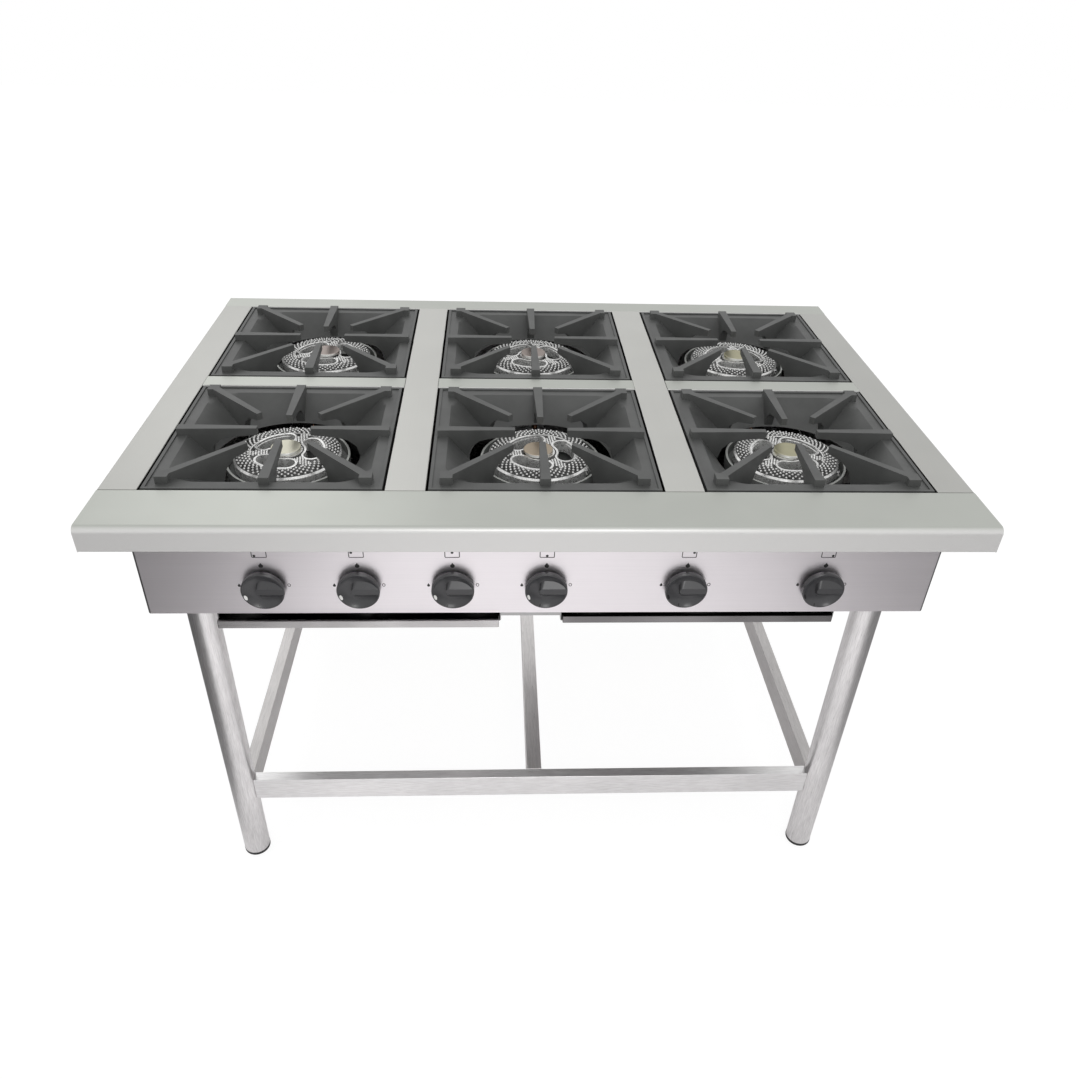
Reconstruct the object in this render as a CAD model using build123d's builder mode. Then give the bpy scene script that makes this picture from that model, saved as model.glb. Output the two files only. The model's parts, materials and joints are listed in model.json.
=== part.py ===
from build123d import *
import math
import os

# A free-standing commercial gas cooktop: six open burners under square cast-iron pan
# grates in a folded steel worktop, a control panel with six taps, two drip trays and a
# stand of round legs and box-section rails.
# The origin is on the floor under the middle of the worktop: +X to the cook's right,
# +Y to the back and +Z up. All sizes are in millimetres.

# Worktop, seen from above
opening = 356.0          # side of the square hole that takes one grate
bar_w = 60.0             # bar between two columns of burners
cross_w = 38.0           # strip between a front and a rear grate
side_rim = 56.0
front_rim = 100.0
rear_rim = 50.0
top_h = 850.0
sheet = 1.5              # gauge of all folded sheet
bend_r = 1.6
nose_r = 10.0            # rounded front edge
apron_h = 40.0
apron_return = 12.0
ledge_drop = 24.0        # depth of the ledge that carries the grates
ledge_w = 12.0
seam = 0.3               # gap left between neighbouring sheet pieces
panel_notch = 5.0        # notch in the top's flanges where a side panel passes

# Body under the worktop
front_overhang = 52.0
side_overhang = 47.0
rear_overhang = 18.5
body_drop = 191.5        # from the worktop down to the bottom of the body
body_flange = 25.0
panel_return = 20.0
panel_bend = 5.0

# Stand
leg_r = 24.15
leg_wall = 1.5
leg_inset_x = 53.0
leg_inset_front = 72.0
leg_inset_rear = 31.5
foot_h = 8.0
foot_lip = 0.35
foot_round = 3.5
foot_plug = 20.0
socket_plate = 3.0
socket_w = 56.0
socket_h = 60.0
socket_wall = 2.85
weld_fit = 0.2           # gap left where one tube is coped to another
rail_top = 205.0
rail_h = 50.0
rail_w = 20.0
side_rail_w = 22.0
side_rail_inset = 10.0   # side rails stand this far inside the legs' centre lines
middle_rail_w = 28.0
rail_wall = 1.5

# Taps, knobs and gas pipes
knob_x = [-421.0, -280.0, -139.0, 2.0, 215.5, 428.0]
knob_drop = 140.0
knob_gap = 3.5           # from the panel to the back of a knob
knob_travel = 3.0
knob_r = 32.2
knob_depth = 11.0
knob_neck_r = 29.0
knob_neck = 2.0
knob_rim = 2.0
dish_depth = 8.0
dish_floor_r = 12.0
grip_w = 10.0
grip_root_w = 30.0
grip_start = 10.0        # how far the grip runs past the axis, away from its pointer end
grip_round = 4.5         # rounding of the grip's blunt end
shaft_r = 4.0
shaft_flat = 2.5
bore_fit = 0.05
end_fit = 0.3
plug_r = 8.0
plug_l = 34.4
plug_inset = 11.8        # from the tap's front face to its plug
tap_r = 13.0
tap_l = 54.5
tap_hole_r = 7.0
spring_r = 6.5
spring_wire = 1.3
port_r = 5.5
port_h = 2.0
front_port_inset = 20.0  # port on top of the tap, for a front burner
rear_port_drop = 5.0     # port behind the tap, for a rear burner
manifold_r = 13.45
manifold_wall = 2.3
manifold_drop = 30.0     # below the taps' axes
manifold_inset = 46.0
manifold_bend = 34.0
manifold_tail = 50.0     # closed end, past the first tap
inlet_x = 500.0
thread_r = 13.22
thread_l = 14.5
inlet_hole_r = 16.0
feed_r = 4.0
feed_wall = 1.0
feed_bend = 12.0
injector_flat_r = 5.5
injector_l = 8.0
injector_nose_r = 3.0
injector_nose = 4.0

# Burners
burner_seat_drop = 109.0     # top of the rails that carry the burners
front_burner_back = 3.0      # how far the burners stand behind the middle of their grates
rear_burner_back = 13.0
burner_rail_w = 60.0
burner_rail_h = 24.0
pot_r = 100.0
pot_wall = 3.5
pot_rim_drop = 45.0
pot_rim_h = 21.0
pot_foot_r = 38.0
pot_foot_h = 19.0
throat_r = 20.5
throat_wall = 5.0
throat_floor = 6.0
throat_h = 37.0
tube_r = 15.0
tube_bore_r = 11.0
tube_rise = 18.0
tube_l = 150.0
bell_r = 19.0
bell_l = 15.0
bell_back = 3.0          # solid part of the bell, behind its mouth
head_r = 87.0
head_inner_r = 56.0
head_drop = 40.0
head_crown = 6.0
head_skirt = 14.0
hub_r = 26.5
spigot_fit = 0.2
spigot_l = 26.0
plate_t = 20.0
window_in_r = 30.0       # inner edge of the three windows between hub and ring
window_out_r = 57.0
window_span = 56.0       # degrees between the middles of a window's round ends
window_angles = [20.0, 140.0, 260.0]
window_lip_w = 3.5
window_lip_h = 1.2
head_turns = [-10.0, 0.0, -14.0, 0.0, 22.0, 0.0]     # the loose heads lie as they were dropped in
cap_r = 24.5
cap_h = 7.0              # from the plate up to the cap's top
cap_drop = 28.0
cap_shifts = [(-3.0, 2.0), (3.0, 1.0), (-4.0, 0.0), (2.0, 2.0), (4.0, 3.0), (4.0, 2.0)]
cap_seat = 0.05
boss_r = 24.0            # raised middle of the plate, under the cap
boss_h = 1.5
probe_r = 2.5
probe_ring_r = 92.0
probe_angle = -38.0
probe_drop = 36.0
probe_l = 54.0

# Grates
grate_gap = 3.8
grate_seat = 0.3
grate_rim_t = 5.0
border_drop = 2.0
border_t = 6.0
well_w = 304.0
well_corner = 50.0
well_hole_r = 118.0
well_depth = 43.0
well_wall = 5.0
finger_rise = 10.0
mid_tip_r = 43.0
mid_tip_w = 10.0
mid_tip_h = 12.0
mid_root_w = 16.0
side_finger_end = 169.0  # the fingers to the left and right
deep_finger_end = 160.0  # the fingers to the front and back
mid_under = [(0.69, 5.0), (0.86, 10.0), (0.97, 21.0)]   # share of the hole's radius, drop
corner_tip_r = 70.0
corner_tip_w = 9.5
corner_tip_h = 12.0
corner_root_w = 13.0
corner_under = [(0.83, 8.0), (0.95, 20.0)]
corner_end_r = 210.0
lug_w = 19.0

# Drip trays
tray_w = 430.0
tray_d = 790.0
tray_h = 12.6
tray_sheet = 1.2
tray_lip = 6.0
tray_rise = 21.5         # from the tray's underside up to the body's bottom
tray_gap = 2.0
tray_clear = 0.3
tray_pulled = 10.0       # the left tray stands open by this much
runner_x = -19.5         # middle of the runner between the trays
runner_w = 96.0
side_runner_w = 22.0
runner_ledge = 14.0
runner_setback = 8.0
runner_tab_h = 12.5
side_tab_h = 6.5

# Screws in the rear panel
screw_r = 2.4
screw_head_r = 4.5
screw_head_h = 2.6
screw_l = 9.0
screw_fit = 0.1
screw_edge = 9.0
screw_margin = 40.0
rear_tab = 16.0

# Places that follow from the sizes above
top_w = 3 * opening + 2 * bar_w + 2 * side_rim
top_d = front_rim + 2 * opening + cross_w + rear_rim
half_w = top_w / 2
half_d = top_d / 2
columns = [-(opening + bar_w), 0.0, opening + bar_w]
front_inner = -half_d + front_rim
rear_inner = half_d - rear_rim
front_y = front_inner + opening / 2
rear_y = rear_inner - opening / 2
cross_y = front_inner + opening + cross_w / 2
ledge_z = top_h - ledge_drop
apron_z = top_h - apron_h
tab_l = opening - 2 * ledge_w - 1.0
panel_y = -half_d + front_overhang
back_y = half_d - rear_overhang
body_x = half_w - side_overhang
body_z = top_h - body_drop
panel_h = body_drop - sheet - seam
inner_x = body_x - body_flange - 1.0
leg_x = body_x - leg_inset_x
leg_front = panel_y + leg_inset_front
leg_rear = back_y - leg_inset_rear
leg_spots = {
    "front_left": (-leg_x, leg_front),
    "front_right": (leg_x, leg_front),
    "rear_left": (-leg_x, leg_rear),
    "rear_right": (leg_x, leg_rear),
}
socket_z = body_z + sheet
leg_top = socket_z + socket_plate + socket_h
rail_z = rail_top - rail_h / 2
knob_z = top_h - knob_drop
tap_face = panel_y + sheet
tap_back = tap_face + tap_l
manifold_y = tap_face + manifold_inset - 1.5
manifold_z = knob_z - manifold_drop
burner_front_y = front_y + front_burner_back
burner_rear_y = rear_y + rear_burner_back
grate_spots = [(x, y) for x in columns for y in (front_y, rear_y)]
burner_spots = [(x, y) for x in columns for y in (burner_front_y, burner_rear_y)]
seat_z = top_h - burner_seat_drop
tube_z = seat_z + tube_rise
grate_w = opening - 2 * grate_gap
tray_z = body_z - tray_rise
tray_xs = {
    "left": runner_x - runner_w / 2 - tray_gap - tray_w / 2,
    "right": runner_x + runner_w / 2 + tray_gap + tray_w / 2,
}
# Taps from left to right, each with its burner's column and row
tap_burners = [
    (columns[0], burner_front_y),
    (columns[0], burner_rear_y),
    (columns[1], burner_rear_y),
    (columns[1], burner_front_y),
    (columns[2], burner_rear_y),
    (columns[2], burner_front_y),
]

os.makedirs("parts", exist_ok=True)


def save(piece, name):
    """Label a finished piece and write it as a STEP file."""
    piece.part.label = name
    export_step(piece.part, f"parts/{name}.step")


def bent_sheet(points, radii, side):
    """The closed outline of a bent sheet, from the line of its outer face."""
    with BuildLine() as outline:
        FilletPolyline(*points, radius=radii)
        offset(amount=sheet, side=side)
    return outline.line.edges()


def box_between(low, high, mode=Mode.ADD):
    """A block from its lowest corner to its highest corner."""
    size = [b - a for a, b in zip(low, high)]
    with Locations(Location(low)):
        Box(*size, align=(Align.MIN, Align.MIN, Align.MIN), mode=mode)


# Stand: round legs with a plastic foot pressed into each
for place, (x, y) in leg_spots.items():
    with BuildPart() as leg:
        with BuildSketch(Plane.XY.offset(foot_h)):
            with Locations((x, y)):
                Circle(leg_r)
                Circle(leg_r - leg_wall, mode=Mode.SUBTRACT)
        extrude(amount=leg_top - foot_h)
    save(leg, f"leg_{place}")

with BuildPart() as feet:
    with BuildSketch():
        with Locations(*leg_spots.values()):
            Circle(leg_r + foot_lip)
    extrude(amount=foot_h)
    fillet(feet.edges().group_by(Axis.Z)[0], radius=foot_round)
    with BuildSketch(Plane.XY.offset(foot_h)):
        with Locations(*leg_spots.values()):
            Circle(leg_r - leg_wall - weld_fit)
    extrude(amount=foot_plug)
save(feet, "feet")

# Stand: box-section rails, coped to the legs they are welded to
for place, y in {"front": leg_front, "rear": leg_rear}.items():
    with BuildPart() as stretcher:
        with BuildSketch(Plane.YZ.offset(-leg_x)):
            with Locations((y, rail_z)):
                Rectangle(rail_w, rail_h)
                Rectangle(rail_w - 2 * rail_wall, rail_h - 2 * rail_wall, mode=Mode.SUBTRACT)
        extrude(amount=2 * leg_x)
        with Locations((-leg_x, y, rail_z), (leg_x, y, rail_z)):
            Cylinder(leg_r + weld_fit, 2 * rail_h, mode=Mode.SUBTRACT)
    save(stretcher, f"stretcher_{place}")

for place, x in {"left": -leg_x, "right": leg_x}.items():
    inward = -math.copysign(side_rail_inset, x)
    with BuildPart() as stretcher:
        with BuildSketch(Plane.XZ.offset(-leg_rear)):
            with Locations((x + inward, rail_z)):
                Rectangle(side_rail_w, rail_h)
                Rectangle(
                    side_rail_w - 2 * rail_wall, rail_h - 2 * rail_wall, mode=Mode.SUBTRACT
                )
        extrude(amount=leg_rear - leg_front)
        with Locations((x, leg_front, rail_z), (x, leg_rear, rail_z)):
            Cylinder(leg_r + weld_fit, 2 * rail_h, mode=Mode.SUBTRACT)
    save(stretcher, f"stretcher_{place}")

with BuildPart() as stretcher_middle:
    with BuildSketch(Plane.XZ.offset(-(leg_rear - rail_w / 2 - weld_fit))):
        with Locations((0, rail_z)):
            Rectangle(middle_rail_w, rail_h)
            Rectangle(middle_rail_w - 2 * rail_wall, rail_h - 2 * rail_wall, mode=Mode.SUBTRACT)
    extrude(amount=leg_rear - leg_front - rail_w - 2 * weld_fit)
save(stretcher_middle, "stretcher_middle")

# Plates inside the body, each with a sleeve round the top of one leg
with BuildPart() as leg_sockets:
    for x, y in leg_spots.values():
        side = math.copysign(1.0, x)
        edges = sorted([x - side * socket_w / 2, side * (body_x - 2 * bend_r)])
        box_between(
            (edges[0], y - socket_w / 2, socket_z),
            (edges[1], y + socket_w / 2, socket_z + socket_plate),
        )
        with BuildSketch(Plane.XY.offset(socket_z + socket_plate)):
            with Locations((x, y)):
                Circle(leg_r + weld_fit + socket_wall)
        extrude(amount=socket_h)
        with Locations((x, y, socket_z)):
            Cylinder(leg_r + weld_fit, 4 * socket_h, mode=Mode.SUBTRACT)
save(leg_sockets, "leg_sockets")


# Worktop: the front and rear rails run the whole width and are closed at their ends
def rim_rail(name, inner, outer, corner_r, side):
    """A folded rail from its inner flange to its outer apron, with tabs for the grates."""
    inward = math.copysign(1.0, inner - outer)
    with BuildPart() as rail:
        with BuildSketch(Plane.YZ.offset(-half_w)):
            line = [
                (inner, ledge_z - sheet),
                (inner, top_h),
                (outer, top_h),
                (outer, apron_z),
                (outer + inward * apron_return, apron_z),
            ]
            make_face(bent_sheet(line, [bend_r, corner_r, bend_r], side))
        extrude(amount=top_w)
        for x in (-half_w, half_w - sheet):
            with BuildSketch(Plane.YZ.offset(x)):
                with BuildLine():
                    end = FilletPolyline(
                        (inner, apron_z), (inner, top_h), (outer, top_h), (outer, apron_z),
                        radius=[bend_r, corner_r],
                    )
                    Line(end @ 1, end @ 0)
                make_face()
            extrude(amount=sheet)
        edge = inner + inward * ledge_w
        root = inner - inward * sheet
        for x in columns:
            box_between(
                (x - tab_l / 2, min(edge, root), ledge_z - sheet),
                (x + tab_l / 2, max(edge, root), ledge_z),
            )
        with Locations((-body_x, inner, ledge_z), (body_x, inner, ledge_z)):
            Box(panel_notch, 6 * sheet, 2 * (ledge_drop - sheet), mode=Mode.SUBTRACT)
    save(rail, name)


rim_rail("worktop_front_rail", front_inner, -half_d, nose_r, Side.LEFT)
rim_rail("worktop_rear_rail", rear_inner, half_d, bend_r, Side.RIGHT)

strip_l = rear_inner - front_inner - 2 * seam
for place, sign in {"left": -1, "right": 1}.items():
    inner = sign * (half_w - side_rim)
    outer = sign * half_w
    with BuildPart() as rim:
        with BuildSketch(Plane.XZ.offset(-(rear_inner - seam))):
            line = [
                (inner - sign * ledge_w, ledge_z),
                (inner, ledge_z),
                (inner, top_h),
                (outer, top_h),
                (outer, apron_z),
                (outer - sign * apron_return, apron_z),
            ]
            make_face(bent_sheet(line, bend_r, Side.RIGHT if sign > 0 else Side.LEFT))
        extrude(amount=strip_l)
    save(rim, f"worktop_side_{place}")

for place, sign in {"left": -1, "right": 1}.items():
    low = sign * (opening + bar_w) / 2 - bar_w / 2
    high = low + bar_w
    with BuildPart() as bar:
        with BuildSketch(Plane.XZ.offset(-(rear_inner - seam))):
            line = [
                (low - ledge_w, ledge_z),
                (low, ledge_z),
                (low, top_h),
                (high, top_h),
                (high, ledge_z),
                (high + ledge_w, ledge_z),
            ]
            make_face(bent_sheet(line, bend_r, Side.RIGHT))
        extrude(amount=strip_l)
    save(bar, f"worktop_bar_{place}")

# Three short strips stand on the ledges of the bars, between front and rear grates
with BuildPart() as cross_strips:
    low = cross_y - cross_w / 2
    high = cross_y + cross_w / 2
    for x in columns:
        with BuildSketch(Plane.YZ.offset(x - opening / 2 + seam)):
            line = [(low, ledge_z), (low, top_h), (high, top_h), (high, ledge_z)]
            make_face(bent_sheet(line, bend_r, Side.RIGHT))
        extrude(amount=opening - 2 * seam)
        with Locations((x - opening / 2, cross_y, ledge_z), (x + opening / 2, cross_y, ledge_z)):
            Box(4 * bend_r, 2 * cross_w, 2 * bend_r, mode=Mode.SUBTRACT)
        for edge, root in ((low - ledge_w, low + sheet), (high + ledge_w, high - sheet)):
            box_between(
                (x - tab_l / 2, min(edge, root), ledge_z - sheet),
                (x + tab_l / 2, max(edge, root), ledge_z),
            )
save(cross_strips, "worktop_cross_strips")

# Body: control panel bent round the corners, with a hole for each tap
with BuildPart() as control_panel:
    with BuildSketch(Plane.XY.offset(body_z)):
        line = [
            (-body_x, panel_y + panel_return),
            (-body_x, panel_y),
            (body_x, panel_y),
            (body_x, panel_y + panel_return),
        ]
        make_face(bent_sheet(line, panel_bend, Side.LEFT))
    extrude(amount=panel_h)
    box_between(
        (-inner_x, panel_y + sheet / 2, body_z),
        (inner_x, panel_y + body_flange, body_z + sheet),
    )
    with Locations(*[Location((x, panel_y, knob_z), (90, 0, 0)) for x in knob_x]):
        Cylinder(tap_hole_r, 4 * sheet, mode=Mode.SUBTRACT)
save(control_panel, "control_panel")

screw_zs = [body_z + screw_margin, body_z + body_drop / 2, top_h - screw_margin]
screw_spots = [(sign * (body_x - screw_edge), back_y, z) for sign in (-1, 1) for z in screw_zs]
screw_places = [Location(spot, (90, 0, 0)) for spot in screw_spots]

for place, sign in {"left": -1, "right": 1}.items():
    wall_end = back_y - sheet - seam
    with BuildPart() as side_panel:
        with BuildSketch(Plane.XZ.offset(-wall_end)):
            line = [
                (sign * (body_x - body_flange), body_z),
                (sign * body_x, body_z),
                (sign * body_x, body_z + panel_h),
            ]
            make_face(bent_sheet(line, bend_r, Side.LEFT if sign > 0 else Side.RIGHT))
        extrude(amount=wall_end - panel_y - panel_return - seam)
        tab_edges = sorted([sign * (body_x - sheet / 2), sign * (body_x - rear_tab)])
        box_between(
            (tab_edges[0], wall_end - sheet, body_z + sheet + socket_plate + seam),
            (tab_edges[1], wall_end, body_z + panel_h),
        )
        with Locations(*screw_places):
            Cylinder(screw_r + screw_fit, 6 * sheet, mode=Mode.SUBTRACT)
    save(side_panel, f"side_panel_{place}")

with BuildPart() as rear_panel:
    box_between((-body_x, back_y - sheet, body_z), (body_x, back_y, body_z + panel_h))
    box_between(
        (-inner_x, back_y - body_flange, body_z),
        (inner_x, back_y - sheet / 2, body_z + sheet),
    )
    with Locations(Location((inlet_x, back_y, manifold_z), (90, 0, 0))):
        Cylinder(inlet_hole_r, 6 * sheet, mode=Mode.SUBTRACT)
    with Locations(*screw_places):
        Cylinder(screw_r + screw_fit, 6 * sheet, mode=Mode.SUBTRACT)
    with Locations((-leg_x, leg_rear, body_z), (leg_x, leg_rear, body_z)):
        Cylinder(leg_r + weld_fit, 6 * sheet, mode=Mode.SUBTRACT)
save(rear_panel, "rear_panel")

with BuildPart() as rear_screws:
    for x, y, z in screw_spots:
        with BuildSketch(Plane.XZ.offset(-y)):
            with Locations((x, z)):
                Circle(screw_head_r)
        extrude(amount=-screw_head_h)
        with BuildSketch(Plane.XZ.offset(-y)):
            with Locations((x, z)):
                Circle(screw_r)
        extrude(amount=screw_l)
save(rear_screws, "rear_panel_screws")

# Drip trays, and the runners that hang from the body's bottom flanges
runner_l = back_y - sheet - runner_setback - panel_y
for place, sign in {"left": -1, "right": 1}.items():
    web = tray_xs[place] + sign * (tray_w / 2 + tray_gap)
    with BuildPart() as runner:
        with BuildSketch(Plane.XZ.offset(-(back_y - sheet))):
            line = [
                (web - sign * runner_ledge, tray_z - tray_clear),
                (web, tray_z - tray_clear),
                (web, body_z),
                (web + sign * side_runner_w, body_z),
            ]
            make_face(bent_sheet(line, bend_r, Side.RIGHT if sign > 0 else Side.LEFT))
        extrude(amount=runner_l)
        edges = sorted([web, web + sign * side_runner_w])
        box_between(
            (edges[0], panel_y + runner_setback, body_z - side_tab_h),
            (edges[1], panel_y + runner_setback + sheet, body_z),
        )
    save(runner, f"tray_runner_{place}")

with BuildPart() as tray_runner_middle:
    low = runner_x - runner_w / 2
    high = runner_x + runner_w / 2
    with BuildSketch(Plane.XZ.offset(-(back_y - sheet))):
        line = [
            (low - runner_ledge, tray_z - tray_clear),
            (low, tray_z - tray_clear),
            (low, body_z),
            (high, body_z),
            (high, tray_z - tray_clear),
            (high + runner_ledge, tray_z - tray_clear),
        ]
        make_face(bent_sheet(line, bend_r, Side.RIGHT))
    extrude(amount=runner_l)
    box_between(
        (low, panel_y + runner_setback, body_z - runner_tab_h),
        (high, panel_y + runner_setback + sheet, body_z),
    )
save(tray_runner_middle, "tray_runner_middle")

for place, x in tray_xs.items():
    front = panel_y - (tray_pulled if place == "left" else 0.0)
    with BuildPart() as tray:
        box_between(
            (x - tray_w / 2, front, tray_z),
            (x + tray_w / 2, front + tray_d, tray_z + tray_h),
        )
        fillet(tray.edges().filter_by(Axis.Z), radius=bend_r)
        box_between(
            (x - tray_w / 2 + tray_sheet, front + tray_lip, tray_z + tray_sheet),
            (x + tray_w / 2 - tray_sheet, front + tray_d - tray_sheet, tray_z + 2 * tray_h),
            mode=Mode.SUBTRACT,
        )
    save(tray, f"drip_tray_{place}")

# Two folded rails run from side to side and carry the burners
with BuildPart() as burner_rails:
    rail_end = body_x - sheet - weld_fit
    for y in (burner_front_y, burner_rear_y):
        with BuildSketch(Plane.YZ.offset(-rail_end)):
            line = [
                (y - burner_rail_w / 2, seat_z - burner_rail_h),
                (y - burner_rail_w / 2, seat_z),
                (y + burner_rail_w / 2, seat_z),
                (y + burner_rail_w / 2, seat_z - burner_rail_h),
            ]
            make_face(bent_sheet(line, bend_r, Side.RIGHT))
        extrude(amount=2 * rail_end)
save(burner_rails, "burner_rails")

# Cast burner pot: a cup with a throat for the head and a mixing tube to the front
probe_x = probe_ring_r * math.cos(math.radians(probe_angle))
probe_y = probe_ring_r * math.sin(math.radians(probe_angle))
with BuildPart() as pot:
    with BuildSketch(Plane.XZ):
        rim_z = top_h - pot_rim_drop
        wall_r = pot_r - pot_wall
        throat_out = throat_r + throat_wall
        with BuildLine():
            Polyline(
                (0, seat_z),
                (pot_foot_r, seat_z),
                (pot_foot_r, seat_z + pot_foot_h),
                (pot_r, rim_z - pot_rim_h),
                (pot_r, rim_z),
                (wall_r, rim_z),
                (wall_r, rim_z - pot_rim_h + pot_wall),
                (throat_out, seat_z + pot_foot_h + 2 * pot_wall),
                (throat_out, seat_z + throat_h),
                (throat_r, seat_z + throat_h),
                (throat_r, seat_z + throat_floor),
                (0, seat_z + throat_floor),
                close=True,
            )
        make_face()
    revolve(axis=Axis.Z)
    with BuildSketch(Plane.XZ.offset(throat_r + throat_wall / 2)):
        with Locations((0, tube_z)):
            Circle(tube_r)
    extrude(amount=tube_l - throat_r - throat_wall / 2)
    with BuildSketch(Plane.XZ.offset(tube_l - bell_l)):
        with Locations((0, tube_z)):
            Circle(bell_r)
    extrude(amount=bell_l)
    with BuildSketch(Plane.XZ.offset(throat_r / 2)):
        with Locations((0, tube_z)):
            Circle(tube_bore_r)
    extrude(amount=tube_l, mode=Mode.SUBTRACT)
    with BuildSketch(Plane.XZ.offset(tube_l - bell_l + bell_back)):
        with Locations((0, tube_z)):
            Circle(tube_r)
    extrude(amount=2 * bell_l, mode=Mode.SUBTRACT)
    with Locations((probe_x, probe_y, rim_z)):
        Cylinder(probe_r + bore_fit, 4 * pot_rim_h, mode=Mode.SUBTRACT)

with BuildPart() as burner_bodies:
    with Locations(*[(x, y, 0) for x, y in burner_spots]):
        add(pot.part)
save(burner_bodies, "burner_bodies")

with BuildPart() as flame_probes:
    with BuildSketch(Plane.XY.offset(top_h - probe_drop)):
        with Locations(*[(x + probe_x, y + probe_y) for x, y in burner_spots]):
            Circle(probe_r)
    extrude(amount=-probe_l)
save(flame_probes, "flame_probes")

# Burner head: a ring of ports round a plate with three windows, and a loose cap on its hub
with BuildPart() as head_form:
    with BuildSketch(Plane.XZ):
        ring_z = top_h - head_drop
        with BuildLine():
            Polyline(
                (head_inner_r, ring_z - head_skirt),
                (head_r, ring_z - head_skirt),
                (head_r, ring_z),
                (head_r - head_crown / 2, ring_z + head_crown / 2),
                (head_r - 3 * head_crown, ring_z + head_crown),
                (head_inner_r + head_crown, ring_z + head_crown),
                (head_inner_r, ring_z + head_crown / 3),
                close=True,
            )
        make_face()
    revolve(axis=Axis.Z)
    shoulder_z = seat_z + throat_h + grate_seat
    hub_top = top_h - cap_drop - cap_h
    with BuildSketch(Plane.XY.offset(shoulder_z)):
        Circle(hub_r)
    extrude(amount=hub_top - shoulder_z)
    with BuildSketch(Plane.XY.offset(shoulder_z)):
        Circle(throat_r - spigot_fit)
    extrude(amount=-spigot_l)
    window_mid_r = (window_in_r + window_out_r) / 2
    window_w = window_out_r - window_in_r
    windows = [
        CenterArc((0, 0), window_mid_r, angle - window_span / 2, window_span)
        for angle in window_angles
    ]
    with BuildSketch(Plane.XY.offset(hub_top - plate_t)):
        Circle(head_inner_r + head_crown)
        for window in windows:
            SlotArc(window, window_w, mode=Mode.SUBTRACT)
    extrude(amount=plate_t)
    with BuildSketch(Plane.XY.offset(hub_top)):
        for window in windows:
            SlotArc(window, window_w + 2 * window_lip_w)
        for window in windows:
            SlotArc(window, window_w, mode=Mode.SUBTRACT)
    extrude(amount=window_lip_h)
    with BuildSketch(Plane.XY.offset(hub_top)):
        Circle(boss_r)
    extrude(amount=boss_h)

for number, ((x, y), turn) in enumerate(zip(burner_spots, head_turns), start=1):
    cap_x, cap_y = cap_shifts[number - 1]
    with BuildPart() as burner_head:
        with Locations(Location((x, y, 0), (0, 0, turn))):
            add(head_form.part)
        with BuildSketch(Plane.XY.offset(hub_top + boss_h + cap_seat)):
            with Locations((x + cap_x, y + cap_y)):
                Circle(cap_r)
        extrude(amount=cap_h - boss_h - cap_seat)
    save(burner_head, f"burner_head_{number}")


# Cast grate: a flat border on a rim wall, a bowl down to a round hole, and eight fingers
def round_hole(radius, split):
    """A circle in eight arcs, so that it lofts to a square with rounded corners."""
    with BuildLine() as outline:
        for quarter in range(4):
            CenterArc((0, 0), radius, 90 * quarter - split, 2 * split)
            CenterArc((0, 0), radius, 90 * quarter + split, 90 - 2 * split)
    return outline.line.edges()


def finger_form(profile, tip_r, tip_w, root_r, root_w):
    """A finger along +X: its side view, cut to a plan that narrows to its tip."""
    with BuildPart() as finger:
        with BuildSketch(Plane.XZ.offset(-root_w)):
            with BuildLine():
                Polyline(*profile, close=True)
            make_face()
        extrude(amount=2 * root_w)
        with BuildSketch(Plane.XY.offset(profile[0][1])):
            with BuildLine():
                Polyline(
                    (tip_r, -tip_w / 2),
                    (root_r, -root_w / 2),
                    (root_r, root_w / 2),
                    (tip_r, tip_w / 2),
                    close=True,
                )
            make_face()
        extrude(amount=-2 * well_depth, mode=Mode.INTERSECT)
    return finger.part


hole_z = top_h - well_depth
finger_z = top_h + finger_rise
border_z = top_h - border_drop
corner_reach = (well_w / 2 - well_corner) * math.sqrt(2) + well_corner
mid_fingers = [
    finger_form(
        [
            (mid_tip_r, finger_z),
            (mid_tip_r, finger_z - mid_tip_h),
            *[(share * well_hole_r, top_h - drop) for share, drop in mid_under],
            (well_hole_r + well_wall / 2, hole_z),
            (well_w / 2 + well_wall / 2, border_z - border_t / 2),
            (end, border_z - border_t / 2),
            (end, finger_z),
        ],
        mid_tip_r, mid_tip_w, end, mid_root_w,
    )
    for end in (side_finger_end, deep_finger_end)
]
corner_finger = finger_form(
    [
        (corner_tip_r, finger_z),
        (corner_tip_r, finger_z - corner_tip_h),
        *[(share * well_hole_r, top_h - drop) for share, drop in corner_under],
        (well_hole_r + well_wall / 2, hole_z),
        (corner_reach + well_wall / 2, border_z - border_t / 2),
        (corner_end_r, border_z - border_t / 2),
        (corner_end_r, finger_z),
    ],
    corner_tip_r, corner_tip_w, corner_end_r, corner_root_w,
)
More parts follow.
